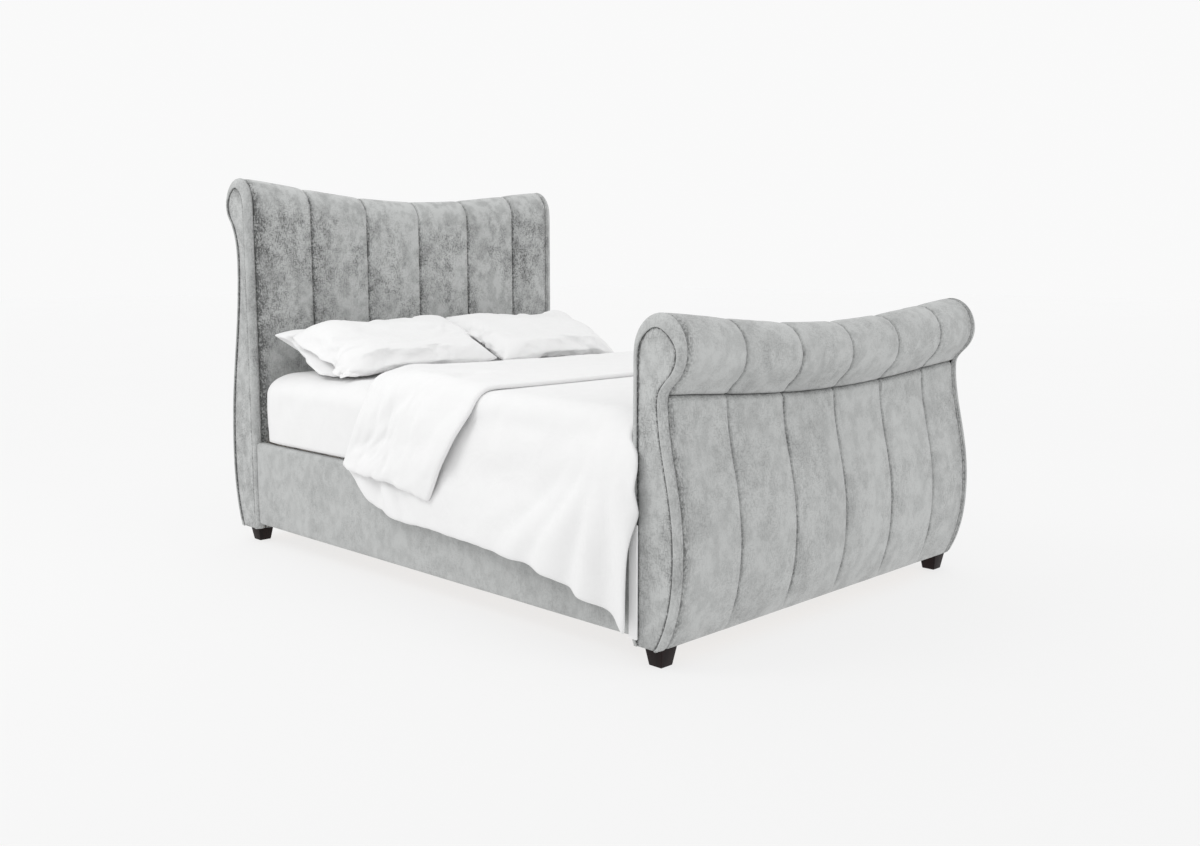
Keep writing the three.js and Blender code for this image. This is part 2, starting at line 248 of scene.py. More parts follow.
def steel(name):
    finish = Finish(name, 0.35, 1.0)
    scratches = finish.noise(90.0, 3.0, (1, 1, 0.05))
    finish.set("Base Color", finish.blend(scratches, grey(150), grey(196)))
    finish.set("Roughness", scratches * 0.25 + 0.25)
    return finish.material


bedding_cloth = cotton("cotton_bedding", 236, 0.16)
sheet_cloth = cotton("cotton_sheet", 235, 0.12)
ticking_cloth = cotton("ticking", 226, 0.06)
joint_cloth = cotton("joint_fabric", 242, 0.05)
pine = (0.66, 0.43, 0.21, 1), (0.50, 0.29, 0.12, 1), 0.55
pine_across = timber("pine_across", *pine, "X")
pine_along = timber("pine_along", *pine, "Y")
ply_upright = timber("plywood", (0.56, 0.36, 0.18, 1), (0.38, 0.22, 0.09, 1), 0.7, "Z")
dark_stain = timber("dark_stain", (0.010, 0.003, 0.003, 1), (0.004, 0.0015, 0.0015, 1), 0.5, "Z")
dark_stain.node_tree.nodes["Principled BSDF"].inputs["Specular IOR Level"].default_value = 0.2
zinc = steel("zinc")
print("finishes in all", len(bpy.data.materials))

# %% [markdown]
# ## Finishes for the frame
# The hidden timber and steel show when the mattress is lifted. Their shapes are already
# right, so they only need wood and metal, with the grain along each rail, board and slat.

# %% Dress the frame's own pieces
def frame_finish(node):
    if "bracket" in node or "hanger" in node:
        return zinc
    if "_rib_" in node:
        return ply_upright
    if node.startswith(("slat_0", "slat_1")) or node.startswith(("headboard", "footboard")):
        return pine_across
    return pine_along


for node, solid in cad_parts.items():
    solid.data.materials.clear()
    solid.data.materials.append(frame_finish(node))
print("frame pieces", len(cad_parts))


# %% [markdown]
# ## Laying a sheet over a form
# Upholstery is flat cloth pulled over a shape. The same idea makes the mesh: a grid comes
# from one operator, and a function called a form says where each point of it lies. `across`
# and `along` run from 0 to 1 over the cloth, and uneven steps put more rows where it bends.

# %% Rows and columns
def even_steps(count):
    return [i / count for i in range(count + 1)]


def steps_between(marks, coarse):
    """Sorted shares from 0 to 1: even coarse steps, with extra ones close to each mark."""
    shares = {round(i / coarse, 5) for i in range(coarse + 1)}
    for mark, reach, count in marks:
        for i in range(-count, count + 1):
            share = mark + reach * (i / count) * abs(i / count) ** 0.5
            if 0 <= share <= 1:
                shares.add(round(share, 5))
    ordered = sorted(shares)
    kept = [ordered[0]]
    for share in ordered[1:]:
        if share - kept[-1] > 0.25 / coarse / 10:
            kept.append(share)
    kept[-1] = 1.0
    return kept


# %% Lay a grid
def lay(name, form, columns, rows, paint=None, calm=None):
    """A grid whose point at (across, along) is put at form(across, along)."""
    mesh = bmesh.new()
    bmesh.ops.create_grid(mesh, x_segments=len(columns) - 1, y_segments=len(rows) - 1, size=0.5)
    layer = mesh.verts.layers.float.new("seam")
    calm_layer = mesh.verts.layers.float.new("calm")
    for point in mesh.verts:
        across = columns[round((point.co.x + 0.5) * (len(columns) - 1))]
        along = rows[round((point.co.y + 0.5) * (len(rows) - 1))]
        point.co = form(across, along)
        if paint:
            point[layer] = paint(across, along)
        if calm:
            point[calm_layer] = calm(across, along)
    bmesh.ops.remove_doubles(mesh, verts=mesh.verts, dist=1e-6)
    return finished(name, mesh)


def finished(name, mesh):
    data = bpy.data.meshes.new(name)
    mesh.to_mesh(data)
    mesh.free()
    piece = bpy.data.objects.new(name, data)
    bpy.context.scene.collection.objects.link(piece)
    return piece


# %% Walls, smoothing and dressing
def face_away(piece, core):
    """Turns a sheet's faces away from core(centre), a point inside the form it lies on."""
    lean = 0.0
    for face in piece.data.polygons:
        lean += face.area * face.normal.dot(face.center - core(face.center))
    if lean < 0:
        piece.data.flip_normals()


def thicken(piece, thickness, inward=-1.0):
    """A solid wall behind the sheet, and smooth shading."""
    wall = piece.modifiers.new("wall", "SOLIDIFY")
    set_all(wall, thickness=thickness, offset=inward, use_quality_normals=True)
    apply(piece)
    smooth(piece)


def apply(piece):
    """Turns what the modifiers show into the mesh itself."""
    scene_now = bpy.context.evaluated_depsgraph_get()
    data = bpy.data.meshes.new_from_object(piece.evaluated_get(scene_now))
    piece.modifiers.clear()
    piece.data = data


def smooth(piece):
    for face in piece.data.polygons:
        face.use_smooth = True


def soften(piece):
    set_all(piece.modifiers.new("rounding", "SUBSURF"), levels=1, render_levels=1)


def dress(piece, body, slot, finish, *nodes):
    """Gives a piece its finish, its body and the frame nodes that it stands for."""
    piece.data.materials.clear()
    piece.data.materials.append(finish)
    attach(piece, body)
    if nodes:
        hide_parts(*nodes)


# %% [markdown]
# ## The boards' outline
# Seen from the side, both boards are a straight inner face, a roll over the top, a neck and
# a belly. An arc and Bezier curves draw that line once, and it is walked by its length, so
# that cloth laid on it is spaced evenly. The top edge sags toward the middle.

# %% Small rules that many shapes share
def clamped(share):
    """A share kept between 0 and 1."""
    return min(1.0, max(0.0, share))


def eased(share):
    """A clamped share that starts and ends gently."""
    share = clamped(share)
    return share * share * (3 - 2 * share)


def fades(distance, width):
    """1 at a line, and almost nothing at twice the width from it."""
    return math.exp(-((distance / width) ** 2))


# %% Outline of a board
class Board:
    """One end board: where it stands, and the line that its cloth follows."""

    def __init__(self, name, side, neck_depth, neck_height, neck_ease, belly, base_depth, sag):
        low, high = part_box(name + "_roll_pad")
        self.name = name
        self.side = side
        self.half = high.x
        self.base = low.z
        self.sag = sag
        self.face = low.y if side > 0 else high.y
        self.roll_depth = high.y - low.y
        self.top = high.z
        self.roll = self.walk(self.roll_line(neck_depth, neck_height))
        self.belly = self.walk(
            self.belly_line(neck_depth, neck_height, neck_ease, belly, base_depth))
        self.share_crease()

    def roll_line(self, neck_depth, neck_height):
        """Up the inner face, over the roll, and back in to the neck."""
        rise = 0.095 if self.side > 0 else 0.100
        centre = Vector((self.roll_depth / 2, self.top - rise))
        points = [Vector((0, self.base + (centre.y - self.base) * i / 40)) for i in range(40)]
        for i in range(61):
            turn = math.pi - i / 60 * 1.28 * math.pi
            reach = Vector((math.cos(turn) * self.roll_depth / 2, math.sin(turn) * rise))
            points.append(centre + reach)
        end = points[-1]
        neck = Vector((neck_depth, neck_height))
        bend = end + Vector((math.sin(-0.28 * math.pi), -math.cos(0.28 * math.pi))) * 0.035
        for i in range(1, 13):
            share = i / 12
            first = end.lerp(bend, share)
            points.append(first.lerp(bend.lerp(neck, share), share))
        return points

    def belly_line(self, neck_depth, neck_height, neck_ease, belly, base_depth):
        """From the neck out to the belly and in again to the base."""
        neck = Vector((neck_depth, neck_height))
        widest = Vector(belly)
        base = Vector((base_depth, self.base))
        upper, lower = neck.y - widest.y, widest.y - base.y
        flank = (neck, neck - Vector((0, upper * neck_ease)),
                 widest + Vector((0, upper * 0.42)), widest)
        low_third = Vector((widest.x * 0.55 + base.x * 0.45, base.y + lower * 0.22))
        skirt = (widest, widest - Vector((0, lower * 0.5)), low_third, base)
        return self.bezier(flank, 50) + self.bezier(skirt, 30)[1:]

    @staticmethod
    def bezier(handles, count):
        points = []
        for i in range(count + 1):
            level = list(handles)
            while len(level) > 1:
                level = [a.lerp(b, i / count) for a, b in zip(level, level[1:])]
            points.append(level[0])
        return points

    @staticmethod
    def walk(points):
        """The line as (distance, point, inward direction) at each of its points."""
        walked = []
        distance = 0.0
        for i, point in enumerate(points):
            before = points[max(0, i - 1)]
            after = points[min(len(points) - 1, i + 1)]
            along = (after - before).normalized()
            if i:
                distance += (point - before).length
            walked.append((distance, point, Vector((along.y, -along.x))))
        return walked

    def share_crease(self):
        """Both cloths dive the same way into the crease, so that no gap opens between them."""
        common = (self.roll[-1][2] + self.belly[0][2]).normalized()
        end = self.roll[-1][0]
        self.roll = [self.turned(step, common, end - step[0]) for step in self.roll]
        self.belly = [self.turned(step, common, step[0]) for step in self.belly]

    @staticmethod
    def turned(step, common, away):
        """A step whose inward direction swings to the common one near the crease."""
        distance, point, inward = step
        return distance, point, inward.lerp(common, eased(1 - away / 0.035)).normalized()

    def middle(self, spot):
        """A point in the middle of the board's thickness, level with a spot on its cloth."""
        depth = self.face + self.side * self.roll_depth / 2
        return Vector((spot.x, depth, min(spot.z, self.top - 0.1)))

    def length(self, line):
        return line[-1][0]

    def at(self, line, distance):
        """The point at a distance along a line, and the direction into the board there."""
        distance = min(max(distance, 0.0), line[-1][0])
        low, high = 0, len(line) - 1
        while high - low > 1:
            middle = (low + high) // 2
            if line[middle][0] <= distance:
                low = middle
            else:
                high = middle
        (start, a, inward_a), (end, b, inward_b) = line[low], line[high]
        share = (distance - start) / max(end - start, 1e-9)
        point, inward = a.lerp(b, share), inward_a.lerp(inward_b, share)
        level = min(1.0, (point.y - self.base) / 0.05)
        return point, Vector((inward.x, inward.y * level)).normalized()

    def put(self, line, distance, x, sink=0.0):
        """A point of the cloth: along the line, across the bed, and sunk into the board."""
        point, inward = self.at(line, distance)
        point = point + inward * sink
        return self.stand(point, x)

    def stand(self, point, x):
        """A point of the outline, stood at x and lowered by the sag of the top edge."""
        rise = max(0.0, (point.y - self.base) / (self.top - self.base))
        across = min(1.0, abs(x) / self.half)
        drop = self.sag * rise * (1 - across * across) ** 1.5
        return Vector((x, self.face + self.side * point.x, point.y - drop))


# %% The two boards
head = Board("headboard", 1, neck_depth=0.084, neck_height=1.150, neck_ease=0.40,
             belly=(0.176, 0.346), base_depth=0.130, sag=0.066)
foot = Board("footboard", -1, neck_depth=0.107, neck_height=0.761, neck_ease=0.35,
             belly=(0.168, 0.322), base_depth=0.106, sag=0.053)
for board in (head, foot):
    print(board.name, "cloth over the roll", round(board.length(board.roll), 3), "m")

# %% [markdown]
# ## Channelled pads
# Six channels run up each board. The foam swells between the rows of stitching, the cloth
# dives at each row, and it rolls under where the pad meets the crease, the base and the edge
# bands. One function gives how far each point of the cloth sinks, and the grid has more
# columns beside each seam so that the stitching is a real groove and not a painted line.

# %% Turn laid cloth into a pad
def upholster(piece, core, wall, finish, fill, *nodes):
    face_away(piece, core)
    thicken(piece, wall)
    dress(piece, "bed_frame", "grey_chenille", finish, *nodes)


# %% Seams and tucks
channels = 6
edge_band = 0.036
first_wider = 0.024
swell_height, swell_reach = 0.0045, 0.050
groove_depth, groove_width = 0.0065, 0.0038


def seam_distance(board, x):
    """How far x is from the nearest inner seam."""
    width = 2 * board.half / channels
    start = x + board.half - first_wider
    index = min(max(round(start / width), 1), channels - 1)
    return abs(start - index * width)


def tuck(distance, reach, depth):
    """Cloth rolling under at an edge: a quarter round that ends at full depth."""
    share = clamped(distance / reach)
    return depth * (1 - math.sqrt(max(0.0, 1 - (1 - share) ** 2)))


# %% One channelled pad
def pad(board, line, name, nodes, finish, tucks):
    """One pad of a board. tucks are the reach and depth of its roll at each end of the line."""
    reach = board.length(line)
    inner = board.half - edge_band
    width = 2 * board.half / channels
    seams = [width * k + first_wider - edge_band for k in range(1, channels)]
    marks = [(seam / (2 * inner), 0.016, 8) for seam in seams]
    marks += [(0.0, 0.018, 7), (1.0, 0.018, 7)]
    columns = steps_between(marks, 48)
    rows = steps_between([(0.0, 0.03, 6), (1.0, 0.03, 6)], max(24, round(reach / 0.03)))

    def stitched(distance):
        """The stitching fades out just above the board's underside."""
        left = reach - distance if line is board.belly else distance
        return clamped((left - 0.015) / 0.10)

    def sink(x, distance):
        from_seam = seam_distance(board, x)
        swell = swell_height * (1 - (1 - min(1.0, from_seam / swell_reach)) ** 2.2) - 0.003
        wander = 0.0010 * noise.noise(Vector((x * 30, distance * 30, board.side)))
        groove = groove_depth * fades(from_seam, groove_width) * stitched(distance)
        swell *= stitched(distance)
        sides = tuck(inner - abs(x), 0.016, 0.009)
        start = tuck(distance, *tucks[0])
        end = tuck(reach - distance, *tucks[1])
        return groove - swell - wander + sides + start + end

    def form(across, along):
        x = -inner + 2 * inner * across
        distance = reach * along
        return board.put(line, distance, x, sink(x, distance))

    def on_the_flat(along):
        """1 where the pile is rubbed, and 0 over a headboard's roll."""
        rolled = reach * along - (board.top - board.base) * 0.94
        return 1.0 if board.side < 0 else 1 / (1 + math.exp(rolled / 0.02))

    def calmed(across, along):
        return 0.75 * (1 - on_the_flat(along))

    # Ruffled pile at the seams and edges, with painted shade in the neck crease and beside each
    # seam.
    def ruffle_and_shade(across, along):
        x = -inner + 2 * inner * across
        distance = reach * along
        ragged = 0.0028 * noise.noise(Vector((x * 40, distance * 55, 3)))
        near = max(0.0, seam_distance(board, x) + ragged)
        edge = inner - abs(x) + ragged
        # Painted shade on one side of each seam, where the channel curves away, mixed with crushed
        # pile.
        pile_and_shade_strength = 0.42 if board.side > 0 else 0.12
        beside = (x + board.half - first_wider) / width % 1.0 * width
        pile_and_shade = pile_and_shade_strength * fades(beside, 0.055) * on_the_flat(along)
        # Painted shade in the neck crease, where the roll pad meets the belly pad.
        crease = reach - distance if line is board.roll else distance
        fold = 0.55 * fades(crease, 0.009)
        worn = 0.46 + 0.55 * noise.noise(Vector((x * 3, distance * 9, 5)))
        row = worn * fades(near, 0.0068) * stitched(distance)
        rim = 0.40 * fades(edge, 0.015) + 0.24 * fades(edge, 0.045)
        return row + rim + pile_and_shade + fold

    piece = lay(name, form, columns, rows, ruffle_and_shade, calmed)
    upholster(piece, board.middle, 0.012, finish, 0.9, *nodes)
    print(name, len(piece.data.polygons), "faces")


# %% The four pads
plain_end = (0.010, 0.006)
crease_end = (0.016, 0.018)
pad(head, head.roll, "headboard_front_cushion", ["headboard_roll_pad"], head_cloth,
    (plain_end, crease_end))
pad(head, head.belly, "headboard_back_cushion", ["headboard_belly_pad"], board_cloth,
    (crease_end, plain_end))
pad(foot, foot.roll, "footboard_roll_cushion", ["footboard_roll_pad"], board_cloth,
    (plain_end, crease_end))
pad(foot, foot.belly, "footboard_outer_cushion", ["footboard_belly_pad"], board_cloth,
    (crease_end, plain_end))

# %% [markdown]
# ## Edge bands, welts and facings
# A padded band turns each board's corner, a cord wrapped in cloth, the welt, follows it, and
# a flat facing closes the side. The three follow one line at different depths, so they are
# three forms over the board's whole outline.

# %% The line round a board's end
def whole_line(board):
    """The board's outline in one piece, with a rounded neck."""
    points = [point for _, point, _ in board.roll] + [point for _, point, _ in board.belly[1:]]
    for _ in range(6):
        points = [points[0]] + [
            (points[i - 1] + points[i] * 2 + points[i + 1]) / 4 for i in range(1, len(points) - 1)
        ] + [points[-1]]
    return board.walk(points)


def facing_inset(board, point):
    """How far inside the outline the facing starts: wide over the roll, narrow outside."""
    over = max(0.0, (point.y - (board.top - 0.13)) / 0.13)
    outward = clamped(point.x / 0.07)
    flank = 0.021 + (0.013 - 0.021) * outward
    return flank + (0.038 - flank) * math.sin(min(1.0, over) * math.pi / 2) ** 2


def word(side):
    return "left" if side < 0 else "right"


# %% Edge bands
def band_profile(share, inset):
    """Offset from the board's end and depth, from the pad's seam round to the facing."""
    if share < 0.18:
        roll = share / 0.18
        return edge_band - 0.012 * roll, tuck(0.014 * roll, 0.014, 0.007) - 0.002 * roll
    if share < 0.80:
        turn = (share - 0.18) / 0.62 * math.pi / 2
        return 0.028 * (1 - math.sin(turn)), inset * 0.8 * (1 - math.cos(turn)) - 0.002
    rest = (share - 0.80) / 0.20
    return 0.0108 * rest ** 3, inset * (0.8 + 0.2 * rest)


def band(board, line, side):
    reach = board.length(line)
    columns, rows = even_steps(22), even_steps(150)

    def form(across, along):
        distance = reach * along
        point, inward = board.at(line, distance)
        offset, depth = band_profile(across, facing_inset(board, point))
        depth += tuck(min(distance, reach - distance), *plain_end)
        return board.stand(point + inward * depth, side * (board.half - offset))

    # Ruffled pile beside the pad's seam, and painted shade in the groove at the facing.
    def ruffle_and_shade(across, along):
        ragged = 0.10 * noise.noise(Vector((along * reach * 45, across * 4, side)))
        over = clamped((board.at(line, reach * along)[0].y - board.top + 0.2) / 0.12)
        spread = 0.42 - 0.24 * over
        seam_side = 0.45 * fades(max(0.0, across + ragged), spread)
        # Painted shade in the groove between the band and the facing.
        return seam_side + 2.4 * fades(1 - across, 0.05)

    piece = lay(f"{board.name}_edge_band_{word(side)}", form, columns, rows, ruffle_and_shade)
    within = Vector((side * 0.06, 0, 0))
    upholster(piece, lambda centre: board.middle(centre) - within, 0.006, band_cloth, 0.9)


# %% Welts
def welt(board, line, side):
    reach = board.length(line)
    radius = 0.0034
    columns, rows = even_steps(10), even_steps(220)

    def form(across, along):
        point, inward = board.at(line, reach * along)
        inset = facing_inset(board, point)
        turn = across * 2 * math.pi
        middle = board.half - 0.0035
        place = point + inward * (inset - 0.0045 + radius * math.cos(turn))
        return board.stand(place, side * (middle + radius * math.sin(turn)))

    piece = lay(f"{board.name}_welt_{word(side)}", form, columns, rows)
    cap(piece)
    smooth(piece)
    dress(piece, "bed_frame", "grey_chenille", band_cloth)


def cap(piece):
    """Closes a tube's two ends and turns its faces outward."""
    mesh = bmesh.new()
    mesh.from_mesh(piece.data)
    bmesh.ops.remove_doubles(mesh, verts=mesh.verts, dist=1e-6)
    bmesh.ops.holes_fill(mesh, edges=mesh.edges, sides=0)
    bmesh.ops.recalc_face_normals(mesh, faces=mesh.faces)
    mesh.to_mesh(piece.data)
    mesh.free()


# %% Facings
facing_depth, facing_rise = 0.0115, 0.007


def facing(board, line, side):
    """The flat side panel: rungs between its inner edge and its outer edge."""
    reach = board.length(line)
    peak = max(line, key=lambda step: step[1].y)[0]
    columns = steps_between([(0.0, 0.15, 6), (1.0, 0.15, 6)], 12)
    rows = even_steps(110)

    def edge(distance):
        point, inward = board.at(line, distance)
        return point + inward * (facing_inset(board, point) - 0.003)

    def rung(across, along):
        """A spot on a rung, and how far it is from the nearer edge and from the top."""
        climb = math.sin(along * math.pi / 2)
        near, far = edge(peak * climb), edge(reach - (reach - peak) * climb)
        to_edge = min(across, 1 - across) * (far - near).length
        return near.lerp(far, across), to_edge, (1 - climb) * 0.2

    def form(across, along):
        place, to_edge, to_top = rung(across, along)
        rise = facing_rise * (1 - tuck(min(to_edge, to_top + 0.001), 0.014, 1.0))
        return board.stand(place, side * (board.half - facing_depth + rise))

    # Painted shade in the groove round the facing's edge, carried in the seam attribute.
    def shaded(across, along):
        _, to_edge, to_top = rung(across, along)
        return 4.5 * fades(min(to_edge, to_top + 0.0005), 0.0072)

    piece = lay(f"{board.name}_side_facing_{word(side)}", form, columns, rows, shaded)
    upholster(piece, lambda centre: centre - Vector((side, 0, 0)), 0.0008, facing_cloth, 0.9,
              f"{board.name}_facing_{word(side)}")


# %% Close both ends of both boards
for board in (head, foot):
    outline = whole_line(board)
    for side in (-1, 1):
        band(board, outline, side)
        welt(board, outline, side)
        facing(board, outline, side)
    print(board.name, "line round each end", round(board.length(outline), 3), "m")

# %% [markdown]
# ## Side rails and joint covers
# Each rail is a board wrapped in thin foam: flat, with soft edges. A C-shaped form wraps the
# top, the face and the underside. The joint with the footboard is hidden by a narrow strip.

# %% Rail covers
def rail_cover(side):
    low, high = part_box(f"side_rail_cover_{word(side)}")
    outer = max(abs(low.x), abs(high.x))
    inner = min(abs(low.x), abs(high.x))
    radius = 0.013
    depth = outer - inner
    height = high.z - low.z
    turn_length = radius * math.pi / 2
    flat = depth - radius
    upright = height - 2 * radius
    total = 2 * flat + 2 * turn_length + upright
    marks = [(share, 0.03, 4) for share in (flat / total, 1 - flat / total)]
    columns = steps_between(marks, 40)
    rows = steps_between([(0.0, 0.004, 3), (1.0, 0.004, 3)], 90)

    def section(distance):
        """Across the top, round the edge and down the face. The lower half mirrors the upper."""
        lower = distance > total / 2
        distance = total - distance if lower else distance
        if distance < flat:
            x, fall = inner + distance, 0.0
        elif distance < flat + turn_length:
            turn = (distance - flat) / radius
            x, fall = outer - radius + radius * math.sin(turn), radius - radius * math.cos(turn)
        else:
            down = distance - flat - turn_length
            x, fall = outer + 0.0025 * math.sin(math.pi * down / upright), radius + down
        return x, low.z + fall if lower else high.z - fall

    def form(across, along):
        x, z = section(total * across)
        y = low.y + (high.y - low.y) * along
        ripple = 0.0015 * noise.noise(Vector((y * 5, z * 9, side * 3)))
        ease = tuck(min(y - low.y, high.y - y), 0.010, 0.006)
        return Vector((side * (x + ripple - ease), y, z))

    piece = lay(f"rail_upholstery_{word(side)}", form, columns, rows)
    upholster(piece, lambda centre: centre - Vector((side, 0, 0)), 0.003, rail_cloth, 0.95,
              f"side_rail_cover_{word(side)}")


def soft_box(name, low, high, rounding, segments):
    """A box between two corners with rounded edges."""
    mesh = bmesh.new()
    bmesh.ops.create_cube(mesh, size=1)
    bmesh.ops.scale(mesh, vec=high - low, verts=mesh.verts)
    bmesh.ops.translate(mesh, vec=(low + high) / 2, verts=mesh.verts)
    bmesh.ops.bevel(mesh, geom=mesh.edges, offset=rounding, segments=segments, profile=0.5,
                    affect="EDGES", material=-1)
    piece = finished(name, mesh)
    smooth(piece)
    return piece


# %% Both rails and their joint strips
for side in (-1, 1):
    rail_cover(side)
    strip = soft_box(f"joint_strip_{word(side)}", *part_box(f"joint_cover_{word(side)}"), 0.0025, 3)
    dress(strip, "bed_frame", "joint_fabric", joint_cloth, f"joint_cover_{word(side)}")
rail_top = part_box("side_rail_cover_left")[1].z
print("rail top at", round(rail_top, 3), "m")

# %% [markdown]
# ## Feet
# Four square feet taper to the floor. A cone with four sides is exactly that shape, turned an
# eighth so that its sides face the bed's, and a small bevel catches the light on its edges.

# %% Feet
sole_share = 47 / 66


def foot_block(node):
    low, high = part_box(node)
    top = (high.x - low.x) / 2
    sole = top * sole_share
    height = high.z - low.z
    mesh = bmesh.new()
    bmesh.ops.create_cone(mesh, cap_ends=True, segments=4, radius1=sole * math.sqrt(2),
                          radius2=top * math.sqrt(2), depth=height)
    bmesh.ops.rotate(mesh, verts=mesh.verts, cent=(0, 0, 0),
                     matrix=Matrix.Rotation(math.pi / 4, 3, "Z"))
    bmesh.ops.translate(mesh, verts=mesh.verts, vec=(low + high) / 2)
    bmesh.ops.bevel(mesh, geom=mesh.edges, offset=0.0025, segments=3, profile=0.5,
                    affect="EDGES", material=-1)
    piece = finished(f"{node}_block", mesh)
    smooth(piece)
    dress(piece, "bed_frame", "dark_wood", dark_stain, node)


for end in ("head", "foot"):
    for side in (-1, 1):
        foot_block(f"foot_{end}_{word(side)}")

# %% [markdown]
# ## Mattress and fitted sheet
# A fitted sheet is stretched round the mattress by elastic, so it follows the block closely
# and only wrinkles a little at the corners. A cube is subdivided, its rows are crowded toward
# the edges, and every point is pushed out from an inner box to round all edges evenly. Above
# the rails nothing holds the soft sides in, so they swell out over the rails' tops.

# %% A block with soft edges
mattress_low, mattress_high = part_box("mattress")


def between(stops, place):
    """The value at a place, on straight lines through a few (place, value) stops."""
    for (a, low), (b, high) in zip(stops, stops[1:]):
        if place <= b:
            share = max(0.0, (place - a) / (b - a))
            return low + (high - low) * share
    return stops[-1][1]


def rounded_block(name, low, high, radius, cuts, bulge):
    mesh = bmesh.new()
    bmesh.ops.create_cube(mesh, size=2)
    bmesh.ops.subdivide_edges(mesh, edges=mesh.edges, cuts=cuts, use_grid_fill=True)
    centre, half = (low + high) / 2, (high - low) / 2
    core = half - Vector((radius, radius, radius))
    for point in mesh.verts:
        crowded = [0.62 * value + 0.38 * math.sin(value * math.pi / 2) for value in point.co]
        spot = Vector([value * size for value, size in zip(crowded, half)])
        inside = Vector([min(max(value, -size), size) for value, size in zip(spot, core)])
        outward = (spot - inside).normalized()
        point.co = centre + inside + outward * (radius + bulge(centre + spot, outward))
        height = point.co.z - low.z
        if height < half.z:
            point.co.z = low.z + between([(0, 0), (radius, 0.022), (half.z, half.z)], height)
    bmesh.ops.recalc_face_normals(mesh, faces=mesh.faces)
    return finished(name, mesh)


# %% Mattress
def corner_wrinkles(spot, outward):
    """Shallow slanting creases that fade out away from the four corners."""
    share = Vector((spot.x / mattress_high.x, spot.y / mattress_high.y))
    corner = max(0.0, min(abs(share.x), 1) * min(abs(share.y), 1) - 0.35) / 0.65
    slant = spot.z * 16 + abs(spot.y) * 11 + abs(spot.x) * 5
    crease = noise.noise(Vector((slant, spot.x * 1.5, spot.y * 1.5)))
    soft = noise.noise(Vector((spot.x * 5, spot.y * 5, spot.z * 7)))
    return 0.0035 * crease * corner + 0.0022 * soft - 0.0035


mattress_body = rounded_block("mattress_body", mattress_low, mattress_high, 0.086, 30,
                              lambda spot, outward: -0.007)
smooth(mattress_body)
dress(mattress_body, "mattress", "white_cotton", ticking_cloth, "mattress")
print("mattress", [round(value, 3) for value in mattress_high - mattress_low], "m")

# %% Fitted sheet
side_swell = 0.036
fitted_sheet = rounded_block("fitted_sheet", mattress_low, mattress_high, 0.088, 60,
                             corner_wrinkles)
sheet_mesh = bmesh.new()
sheet_mesh.from_mesh(fitted_sheet.data)
for point in sheet_mesh.verts:
    above = eased((point.co.z - rail_top + 0.001) / 0.009)
    outer = eased((abs(point.co.x) - mattress_high.x + 0.088) / 0.088)
    point.co.x += math.copysign(side_swell * above * outer, point.co.x)
under = [face for face in sheet_mesh.faces
         if all(point.co.z < mattress_low.z + 0.006 for point in face.verts)
         and max(abs(point.co.x) for point in face.verts) < mattress_high.x - 0.09
         and max(abs(point.co.y) for point in face.verts) < mattress_high.y - 0.09]
bmesh.ops.delete(sheet_mesh, geom=under, context="FACES")
sheet_mesh.to_mesh(fitted_sheet.data)
sheet_mesh.free()
thicken(fitted_sheet, 0.0012)
dress(fitted_sheet, "mattress", "white_cotton", sheet_cloth)
print("fitted sheet", len(fitted_sheet.data.polygons), "faces")


# %% [markdown]
# ## Cloth simulation
# Feather pillows and a duvet fall the way gravity and their filling decide. The simulator
# does that: pressure stands in for the filling, simple hidden blocks stand in for the bed,
# and the result is written into the mesh, so that nothing is left to simulate later.

# %% Cloth, and what it lands on
def make_cloth(piece, frames, pressure=0.0, gravity=1.0, swell=0.0, bending=0.5, gap=0.005):
    cloth = piece.modifiers.new("cloth", "CLOTH")
    set_all(cloth.settings, quality=6, mass=0.25, air_damping=3.0, tension_stiffness=18,
            compression_stiffness=18, shear_stiffness=6, bending_stiffness=bending,
            shrink_min=-swell, use_pressure=pressure > 0, uniform_pressure_force=pressure)
    if "filled" in piece.vertex_groups:
        cloth.settings.vertex_group_pressure = "filled"
    cloth.settings.effector_weights.gravity = gravity
    set_all(cloth.collision_settings, distance_min=gap, use_self_collision=pressure == 0,
            self_distance_min=0.009)
    cloth.point_cache.frame_end = frames


def blocker(name, low, high, gap):
    """A hidden block that cloth lands on."""
    thinnest = min(b - a for a, b in zip(low, high))
    block = soft_box(name, Vector(low), Vector(high), min(0.03, thinnest * 0.2), 3)
    block.modifiers.new("blocker", "COLLISION")
    set_all(block.collision, thickness_outer=gap, cloth_friction=12)
    return block


# %% Run the cloth
def settle(cloths, blockers, frames, reach):
    """Runs the frames, keeps each point within reach(start) of its start, and cleans up."""
    starts = [[point.co.copy() for point in piece.data.vertices] for piece in cloths]
    for frame_number in range(1, frames + 1):
        bpy.context.scene.frame_set(frame_number)
    for piece, start in zip(cloths, starts):
        apply(piece)
        for point, first in zip(piece.data.vertices, start):
            moved = point.co - first
            most = reach(first)
            if moved.length > most:
                point.co = first + moved * (most / moved.length)
    for block in blockers:
        bpy.data.objects.remove(block)
    bpy.context.scene.frame_set(1)


# %% [markdown]
# ## Duvet
# The duvet is one thick quilt: it lies over the mattress, hangs down both sides to a point at
# the foot, and its top third is folded back. A grid is laid along that path, with rows
# counted from the foot, round the fold and back over itself. The form gives the long soft
# pulls that gravity makes at the foot corners, and a short simulation loosens the rest.

